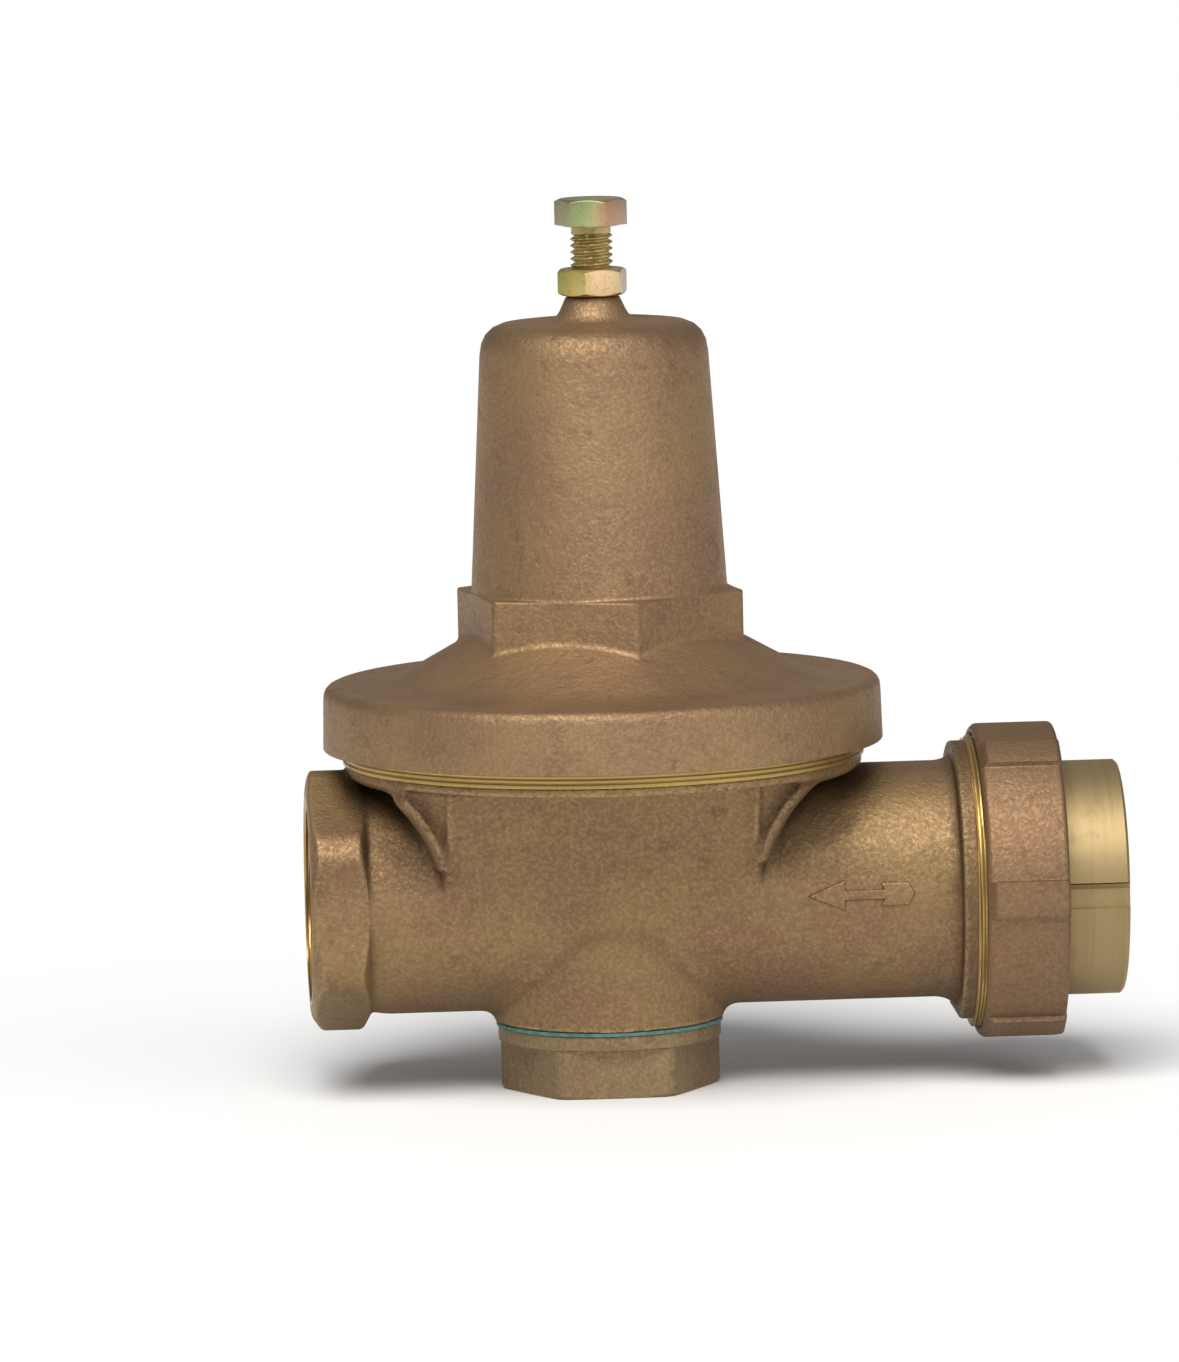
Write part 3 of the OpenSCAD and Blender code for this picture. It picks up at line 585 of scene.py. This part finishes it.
top = np.stack([ax, -arrow_top * np.cos(arrow_angle), arrow_top * np.sin(arrow_angle) + pipe_up], -1)
patch = np.stack([ax, -patch_r * np.cos(arrow_angle), patch_r * np.sin(arrow_angle) + pipe_up], -1)[:, ::-1]
shell = np.concatenate([top, patch], 1)
shell[0], shell[-1] = np.concatenate([patch[0, ::-1], patch[0]]), np.concatenate([patch[-1, ::-1], patch[-1]])
ids = np.arange(shell.shape[0] * shell.shape[1]).reshape(shell.shape[:2])
nxt = np.roll(ids, -1, 1)
arrow_faces = np.stack([ids[:-1], ids[1:], nxt[1:], nxt[:-1]], -1).reshape(-1, 4)
flow_arrow = piece("flow_arrow", (shell + [valve_x / MM, 0, 0]) * MM, arrow_faces, cast_bronze, 50)
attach(flow_arrow, "root")
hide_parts("body")

# Bonnet -----------------------------------------------------------------------------------------
# A second bronze casting: a wide screwed rim, a wrench hexagon and the tall spring bell, with a
# boss on top for the adjusting bolt. Only the lower edge of the rim is machined.
bonnet_bronze = cast_metal("bonnet_bronze", linear(60, 45, 33), linear(147, 119, 87), linear(137, 108, 84),
                           linear(178, 150, 110), 1.25)
rim_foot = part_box("bonnet")[0][2] / MM
boss_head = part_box("bonnet")[1][2] / MM
bell_head = boss_head - 7.6
rim_up = rim_foot + 18.8
hex_up = rim_up + 27.4
bonnet_flats = 77.2     # the wrench hexagon across its flats
bonnet_corner = 10.9    # degrees from the front to its nearest corner
bell_r, bell_in = 38.3, 33.2
cone_foot, cone_head = 61, 41   # the radii of the slope from the rim up to the hexagon
bonnet_angles = spread(480)
flat_r = six_flats(bonnet_angles, bonnet_flats, math.radians(-90 + bonnet_corner), 0.02)
cone_slope = (hex_up - 14.2 - (rim_up + 2.0)) / (cone_foot - cone_head)
meet = hex_up - 14.2 + (cone_head - flat_r) * cone_slope


def ring_of(values, count=len(bonnet_angles)):
    """A corner for every angle from a radius and a height, either of which may change with the angle."""
    return np.stack([np.broadcast_to(values[0], count), np.broadcast_to(values[1], count)], -1)


# From the rim's foot up the outside to the boss, down its hole and the inside of the bell, and out again
bonnet_corners = np.stack([ring_of(v) for v in [
    (75.1, rim_foot + 0.4), (76.2, rim_foot), (83.8, rim_foot), (83.3, rim_up), (66, rim_up + 0.5),
    (cone_foot, rim_up + 2.0), (flat_r, meet), (flat_r, hex_up), (bell_r, hex_up), (33.6, bell_head),
    (11.4, bell_head), (7.9, boss_head), (6.4, boss_head), (6.4, bell_head - 6), (24.6, bell_head - 6),
    (28.6, bell_head - 10), (bell_in, hex_up), (bell_in, hex_up - 14), (41, hex_up - 22), (60, 57.5),
    (60, 56.5), (75.1, 56.5)]], 1)
bonnet_rounds = [0.2, 0.2, 0.35, 3.6, 4, 4, 1.6, 0.9, 1.3, 9.5, 4.5, 0.9, 0.4, 0.3, 2, 2, 3, 3, 3,
                 0.4, 0.2, 0.3]
bonnet_outline = rounded(bonnet_corners, bonnet_rounds, 6)
bonnet_shell = spun("bonnet_shell", bonnet_angles, bonnet_outline, bonnet_bronze, "z", 50)
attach(bonnet_shell, "root")
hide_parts("bonnet")

# Adjusting bolt and lock nut -----------------------------------------------------------------------
# A half inch steel bolt, zinc plated and yellow passivated, so its flats shade from straw to green
# and pink. The nut below its head locks it against the bonnet's boss.


def yellow_zinc(name, stops):
    """Yellow passivate: a run of tints across the piece, broken by soft noise, over bright rough zinc."""
    made, tree, bsdf, place = new_finish(name)
    across = tree.node("ShaderNodeSeparateXYZ", Vector=place)
    drift = (across - (valve_x - 0.0105)) * (1 / 0.021) + (grain(tree, place, 0.006, 3) - 0.5) * 0.35
    tint = tree.node("ShaderNodeValToRGB", {"stops": stops}, Fac=drift)
    wear = grain(tree, place, 0.0011, 4, 0.65)
    edge = tree.node("ShaderNodeNewGeometry", out=7)
    colour = (wear.between(0.5, 0.72) * 0.35).colours(tint, linear(120, 104, 70))
    # Painted highlight: sharp edges, found by pointiness, are lightened towards pale straw.
    colour = (edge.between(0.52, 0.62) * 0.5).colours(colour, linear(226, 216, 170))
    bump = tree.node("ShaderNodeBump", Strength=0.3, Distance=0.00008, Height=wear)
    connect(tree, bsdf, Base_Color=colour, Roughness=0.30 + 0.18 * wear, Metallic=0.9, Normal=bump)
    return made


bolt_zinc = yellow_zinc("yellow_zinc_bolt", [(0.0, linear(140, 126, 98)), (0.16, linear(150, 148, 110)),
                        (0.34, linear(154, 170, 118)), (0.55, linear(188, 182, 130)),
                        (0.74, linear(194, 146, 116)), (1.0, linear(172, 156, 138))])
nut_zinc = yellow_zinc("yellow_zinc_nut", [(0.0, linear(170, 160, 96)), (0.2, linear(196, 178, 96)),
                       (0.38, linear(216, 190, 132)), (0.6, linear(232, 196, 152)),
                       (0.82, linear(214, 186, 140)), (1.0, linear(176, 160, 150))])
thread_zinc = yellow_zinc("yellow_zinc_thread", [(0.0, linear(132, 116, 80)), (0.3, linear(184, 166, 112)),
                          (0.5, linear(150, 132, 88)), (0.7, linear(200, 182, 128)),
                          (1.0, linear(124, 108, 78))])
bolt_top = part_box("adjusting_bolt")[1][2] / MM
bolt_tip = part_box("adjusting_bolt")[0][2] / MM
head_low = bolt_top - 7.9
bolt_flats = 19.0    # head and nut across their flats
bolt_pitch = 1.954   # thirteen threads an inch
bolt_angles = spread(240)
face_r = 9.3         # the flat top of the head, inside its chamfer
head_r = six_flats(bolt_angles, bolt_flats, math.radians(20 - 90), 0.012)
head_cut = np.clip(bolt_top - (head_r - face_r) * 0.52, head_low, bolt_top)


def bolt_ring(values):
    """A corner of the bolt's or nut's outline at every angle."""
    return ring_of(values, len(bolt_angles))


head_corners = np.stack([bolt_ring(v) for v in [
    (0, bolt_top), (np.minimum(head_r, face_r) - 0.1, bolt_top), (head_r, head_cut), (head_r, head_low),
    (8.6, head_low), (8.4, head_low - 0.3), (0, head_low - 0.3)]], 1)
head_outline = rounded(head_corners, [0, 0.2, 0.15, 0.15, 0.1, 0.1, 0], 4)
bolt_head = spun("bolt_head", bolt_angles, head_outline, bolt_zinc, "z", 35, True)
shank_angles = spread(120)
shank_z = np.concatenate([[bolt_tip], np.linspace(bolt_tip, head_low + 0.5, 300)])
fade = np.clip((head_low - 2.2 - shank_z) / 1.0, 0, 1)
shank_turns = shank_z / bolt_pitch - shank_angles[:, None] / (2 * math.pi)
shank_r = 6.33 - 0.4 * (1 - fade) - 1.15 * fade * tooth(shank_turns, 0.16)
shank_r = np.minimum(shank_r, 5.0 + np.clip(shank_z - bolt_tip, 0, 3))
shank_r[:, 0], shank_r[:, -1] = 0, 0
shank = np.stack([shank_r, np.broadcast_to(shank_z, shank_r.shape)], -1)
bolt_shank = spun("bolt_threaded_shank", shank_angles, shank, thread_zinc, "z", 35, True)
for part in (bolt_head, bolt_shank):
    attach(part, "bolt")
    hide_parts("adjusting_bolt")

nut_low, nut_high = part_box("lock_nut")[0][2] / MM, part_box("lock_nut")[1][2] / MM
nut_side = six_flats(bolt_angles, bolt_flats, math.radians(-14 - 90), 0.012)
nut_cut = (nut_side - 9.25) * 0.56
nut_corners = np.stack([bolt_ring(v) for v in [
    (6.4, nut_low + 0.5), (7.0, nut_low), (9.2, nut_low), (nut_side, nut_low + nut_cut),
    (nut_side, nut_high - nut_cut), (9.2, nut_high), (7.0, nut_high), (6.4, nut_high - 0.5)]], 1)
lock_nut = spun("lock_nut_hex", bolt_angles, rounded(nut_corners, 0.15, 4), nut_zinc, "z", 35)
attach(lock_nut, "jam_nut")
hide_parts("lock_nut")

# Adjusting spring --------------------------------------------------------------------------------
# A coil of heavy oiled spring steel, closed and ground flat at both ends, drawn as an upper and a lower half.


def plain_metal(name, plain, shade, rough, metallic=1.0, size=0.004):
    """Plain metal or rubber: two tones in soft blotches, fine scratches in the roughness, and light bump."""
    made, tree, bsdf, place = new_finish(name)
    blotch = grain(tree, place, size, 4).between(0.38, 0.66)
    fine = grain(tree, place, size / 6, 4, 0.65)
    bump = tree.node("ShaderNodeBump", Strength=0.25, Distance=0.0001, Height=fine)
    colour = (blotch * 0.8).colours(plain, shade)
    colour = (fine.between(0.55, 0.75) * 0.3).colours(colour, shade)
    connect(tree, bsdf, Base_Color=colour, Roughness=rough + 0.15 * fine + 0.08 * blotch, Metallic=metallic,
            Normal=bump)
    return made


spring_steel = plain_metal("oiled_spring_steel", linear(98, 100, 104), linear(58, 58, 60), 0.32)
spring_low, spring_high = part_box("adjusting_spring")[0][2] / MM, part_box("adjusting_spring")[1][2] / MM
spring_out = (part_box("adjusting_spring")[1][0] - valve_x) / MM
wire = 3.2   # the wire's radius
coil = spring_out - wire
spring_mid = (spring_low + spring_high) / 2
half_turns = 4.25


def half_spring(name, low, high, closed_low):
    """Half a coil spring: a circle of wire carried along (coil cos a, coil sin a, height), where the height
    eases in flat at the closed end and the wire is ground off at the end's flat."""
    t = np.linspace(0, 1, 300)
    eased = t - 0.11 * np.exp(-t * 9) + 0.11 * (1 - t)
    eased = (eased - eased[0]) / (eased[-1] - eased[0])
    seated = wire * 0.98
    climb = high - low - seated
    if closed_low:
        rise = low + seated + eased * climb
        a = 2 * math.pi * half_turns * t
    else:
        rise = low + (1 - eased[::-1]) * climb
        a = 2 * math.pi * half_turns * (t + 1)
    sides = 20
    ring = spread(sides)
    radial = coil + wire * 0.985 * np.cos(ring)[None]
    up = rise[:, None] + wire * 0.985 * np.sin(ring)[None]
    up = np.clip(up, spring_low + 0.02, spring_high - 0.02)
    grid = np.stack([radial * np.cos(a)[:, None], radial * np.sin(a)[:, None], up], -1)
    ids = np.arange(grid.shape[0] * sides).reshape(-1, sides)
    nxt = np.roll(ids, -1, 1)
    quads = np.stack([ids[:-1], nxt[:-1], nxt[1:], ids[1:]], -1).reshape(-1, 4)
    caps = np.array([[ids[0, 0], ids[0, k + 1], ids[0, k]] for k in range(1, sides - 1)]
                    + [[ids[-1, 0], ids[-1, k], ids[-1, k + 1]] for k in range(1, sides - 1)])
    faces = np.concatenate([quads[:, [0, 1, 2]], quads[:, [0, 2, 3]], caps])
    return piece(name, (grid.reshape(-1, 3) + [valve_x / MM, 0, 0]) * MM, faces, spring_steel, 40)


lower_spring = half_spring("spring_lower_half", spring_low, spring_mid, True)
upper_spring = half_spring("spring_upper_half", spring_mid, spring_high, False)
for part, moved, start, end in ((lower_spring, "stem", spring_mid - 4, spring_low + 6),
                                (upper_spring, "button", spring_mid + 4, spring_high - 6)):
    start * MM
    end * MM
    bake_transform(part)
    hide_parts("adjusting_spring")

# Diaphragm --------------------------------------------------------------------------------------
# A disc of fabric-reinforced black rubber, clamped at its rim between body and bonnet and at its
# middle between plate and washer, with one soft roll in between.
black_rubber = plain_metal("black_rubber", linear(52, 51, 50), linear(34, 33, 33), 0.62, 0.0, 0.003)
dia_low, dia_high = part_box("diaphragm")[0][2] / MM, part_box("diaphragm")[1][2] / MM
dia_out = (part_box("diaphragm")[1][0] - valve_x) / MM
dia_thick = 3
stem_hole = 5.1
roll_start, roll_width = 46.5, 9.5   # the roll begins outside the plate and ends at the clamped rim
dia_r = np.linspace(stem_hole, dia_out, 60)
lift = np.clip((dia_r - roll_start) / roll_width, 0, 1)
under_z = dia_low + (dia_high - dia_thick - dia_low) * lift * lift * (3 - 2 * lift)
dia_under = np.stack([dia_r, under_z + 0.01], 1)
dia_over = np.stack([dia_r, under_z + 2.99], 1)
dia_outline = np.concatenate([dia_under, dia_over[::-1]])
diaphragm = spun("diaphragm_disc", spread(128), dia_outline, black_rubber, "z", 50)
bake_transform(diaphragm)
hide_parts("diaphragm")

# Bottom plug -------------------------------------------------------------------------------------
# A bronze plug that closes the strainer boss: a threaded shank and cup inside, a turned collar on
# the gasket, and a cast hexagon for the wrench. Its flat foot is what the valve stands on.
plug_bronze = cast_metal("plug_bronze", linear(64, 52, 38), linear(140, 120, 90), linear(132, 108, 82),
                         linear(178, 156, 120), 0.6)
plug_low, plug_high = foot_z / MM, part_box("bottom_plug")[1][2] / MM
plug_angles = spread(360)
plug_flats, plug_corner_r = 58.2, 32.8   # across the flats, and the corners turned off round
plug_side = np.minimum(six_flats(plug_angles, plug_flats, 0.0, 0.012), plug_corner_r)
collar_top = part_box("plug_gasket")[0][2] / MM
collar_low = collar_top - 4.6
collar_out, cup_r, shank_out = 33.4, 25, 28.9
foot_r = 28.6                            # the flat foot, inside its chamfer
foot_cut = (plug_side - foot_r) * 0.25
foot_edge = np.minimum(plug_side, foot_r) + (plug_side - foot_r) * 0.8
# From the guide hole in the middle through the cup and over the shank, then down the outside to the foot
plug_corners = np.stack([ring_of(v, 360) for v in [
    (0, collar_top - 10), (5.1, collar_top - 10), (5.1, collar_top + 6), (9, collar_top + 6), (9, collar_top),
    (cup_r, collar_top), (cup_r, plug_high), (shank_out, plug_high), (shank_out, collar_top),
    (collar_out, collar_top), (collar_out, collar_low), (plug_side, collar_low - 0.2),
    (plug_side, plug_low + foot_cut), (foot_edge, plug_low), (0, plug_low)]], 1)
plug_outline = rounded(plug_corners, [0, 0.3, 0.4, 0.6, 0.6, 1, 0.5, 0.8, 0.3, 0.5, 0.6, 0.5, 0.4, 0.4, 0], 5)
plug = spun("bottom_plug_casting", plug_angles, plug_outline, plug_bronze, "z", 45, True)
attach(plug, "root")
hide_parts("bottom_plug")

# Union nut ---------------------------------------------------------------------------------------
# A cast bronze nut with six wrench lugs. Its thread pulls the tailpiece's flange onto the gasket.
nut_bronze = cast_metal("nut_bronze", linear(68, 50, 38), linear(126, 101, 77), linear(132, 102, 76),
                        linear(160, 132, 100), 0.7)
nut_start = (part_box("union_nut")[0][0] - valve_x) / MM
nut_stop = (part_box("union_nut")[1][0] - valve_x) / MM
ring_angles = spread(720)
from_lug = (ring_angles + math.pi / 6) % (math.pi / 3) - math.pi / 6
lug = np.clip((math.radians(6.75) - np.abs(from_lug)) / math.radians(0.55) + 0.5, 0, 1)
lug_side = 47.2 + 1.6 * lug
lip_in = nut_stop - 4.6
nut_bore, lip_hole = 44.1, 35.6
nut_corners = np.stack([ring_of(v, 720) for v in [
    (nut_bore, nut_start + 0.8), (44.9, nut_start), (45.9, nut_start),
    (lug_side, nut_start + 1.3 + 1.2 * lug), (lug_side, nut_stop), (lip_hole, nut_stop),
    (lip_hole, lip_in), (nut_bore, lip_in)]], 1)
nut_ring = rounded(nut_corners, [0.2, 0.2, 0.4, 0.8, 1.7, 0.8, 0.3, 0.5], 5)
union_nut = spun("union_nut_ring", ring_angles, nut_ring, nut_bronze, "x", 38)
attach(union_nut, "coupling_nut")
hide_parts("union_nut")

# Union tailpiece ---------------------------------------------------------------------------------
# Turned from brass bar: a flange inside the nut, a plain barrel with one milled flat-bottomed slot,
# and a pipe thread in its end.
tail_brass = turned_metal("tail_brass", linear(158, 138, 100), linear(122, 102, 72), 0.50, 0, 0.0014)
tail_start = (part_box("union_tailpiece")[0][0] - valve_x) / MM
tail_stop = (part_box("union_tailpiece")[1][0] - valve_x) / MM
barrel_r, flange_r = 35.2, 42.0
slot_floor = 33.6
slot_edges = [math.asin(v / barrel_r) for v in (-2.35, 4.95)]
tail_angles = np.sort(np.concatenate([spread(240), [e + d for e in slot_edges for d in (-0.0012, 0.0012)]]))
signed = (tail_angles + math.pi) % (2 * math.pi) - math.pi
in_slot = (signed > slot_edges[0]) & (signed < slot_edges[1])
barrel = np.where(in_slot, slot_floor / np.cos(signed), barrel_r)
count = len(tail_angles)
barrel_end = np.where(in_slot, barrel, barrel - 0.8)
outside = np.stack([ring_of(v, count) for v in [
    (29.6, tail_start), (flange_r, tail_start), (flange_r, lip_in - 0.3), (barrel_r, lip_in - 0.3),
    (barrel_r, nut_stop - 2.0), (barrel, nut_stop - 1.9), (barrel, tail_stop - 0.8), (barrel_end, tail_stop),
    (31.4, tail_stop)]], 1)
bore_z = np.linspace(tail_stop - 0.6, tail_stop - 22, 90)
bore_turns = bore_z[None] / pipe_pitch + tail_angles[:, None] / (2 * math.pi)
bore_r = 29.7 - 1.0 * tooth(bore_turns) - 0.02 * (tail_stop - bore_z)
bore_r = np.maximum(bore_r, 28.45)
inside = np.stack([bore_r, np.broadcast_to(bore_z, bore_r.shape)], -1)
back = np.stack([ring_of(v, count) for v in [(way_r, tail_stop - 22.4), (way_r, tail_start)]], 1)
tail_outline = np.concatenate([outside, inside, back], 1)
tailpiece = spun("union_tailpiece_barrel", tail_angles, tail_outline, tail_brass, "x", 28)
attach(tailpiece, "tailpiece")
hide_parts("union_tailpiece")

# Trim inside the valve and the gaskets ----------------------------------------------------------
# Small turned, pressed and moulded parts between the castings. Their shapes are right as drawn, so
# each only gets the finish of its own material.
bright_steel = plain_metal("bright_plain_steel", linear(176, 178, 182), linear(132, 134, 138), 0.28)
stainless = plain_metal("stainless_trim", linear(204, 204, 200), linear(160, 160, 158), 0.22)
grey_fibre = plain_metal("grey_fibre", linear(96, 96, 94), linear(66, 66, 64), 0.75, 0.0, 0.002)
teal_fibre = plain_metal("teal_fibre", linear(82, 122, 118), linear(58, 90, 88), 0.7, 0.0, 0.002)
trim_brass = turned_metal("trim_brass", linear(204, 168, 92), linear(150, 116, 58), 0.28, 2)
trims = {
    bright_steel: ["spring_button", "diaphragm_plate", "stem_nut", "disc_screw_nut"],
    stainless: ["seat_ring", "disc_retainer", "strainer_screen"],
    trim_brass: ["slip_ring", "diaphragm_washer", "stem", "disc_holder"],
    black_rubber: ["seat_disc", "seat_o_ring", "guide_o_ring"],
    grey_fibre: ["union_gasket"],
    teal_fibre: ["plug_gasket"],
}
for material, nodes in trims.items():
    for node in nodes:
        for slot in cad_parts[node].material_slots:
            slot.material = material
